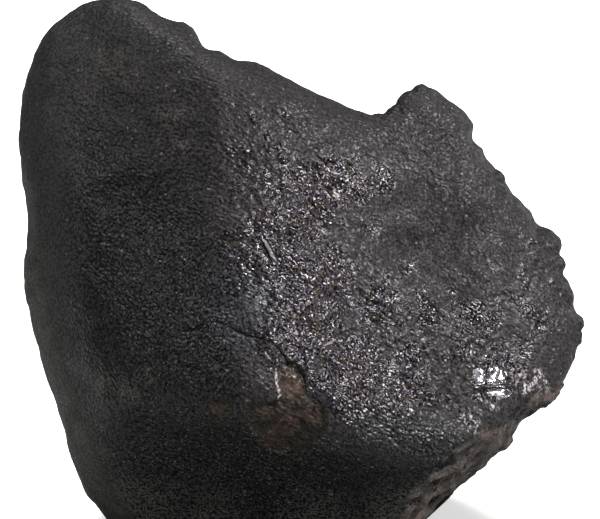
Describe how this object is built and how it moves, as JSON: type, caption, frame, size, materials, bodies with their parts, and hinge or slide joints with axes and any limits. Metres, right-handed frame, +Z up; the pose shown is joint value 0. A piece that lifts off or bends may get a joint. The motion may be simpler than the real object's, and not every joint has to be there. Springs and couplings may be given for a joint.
{
  "type": "stony meteorite",
  "caption": "Whole stony meteorite with a dark fusion crust, broad flats, shallow thumbprints and a broken corner, resting on a worn patch underneath.",
  "frame": {"origin": "on the resting patch, under the middle of the stone's box", "axes": "+Z up; -Y out of the front, where the three broad flats meet; +X to the right as the front is seen, along the stone's longest side"},
  "size_m": [0.149, 0.1146, 0.1397],
  "materials": {
    "crust": "rough, faintly glossy fusion crust, near black, with brown-grey stone where it has chipped away"
  },
  "bodies": {
    "root": {"meteorite": "crust"}
  },
  "joints": []
}
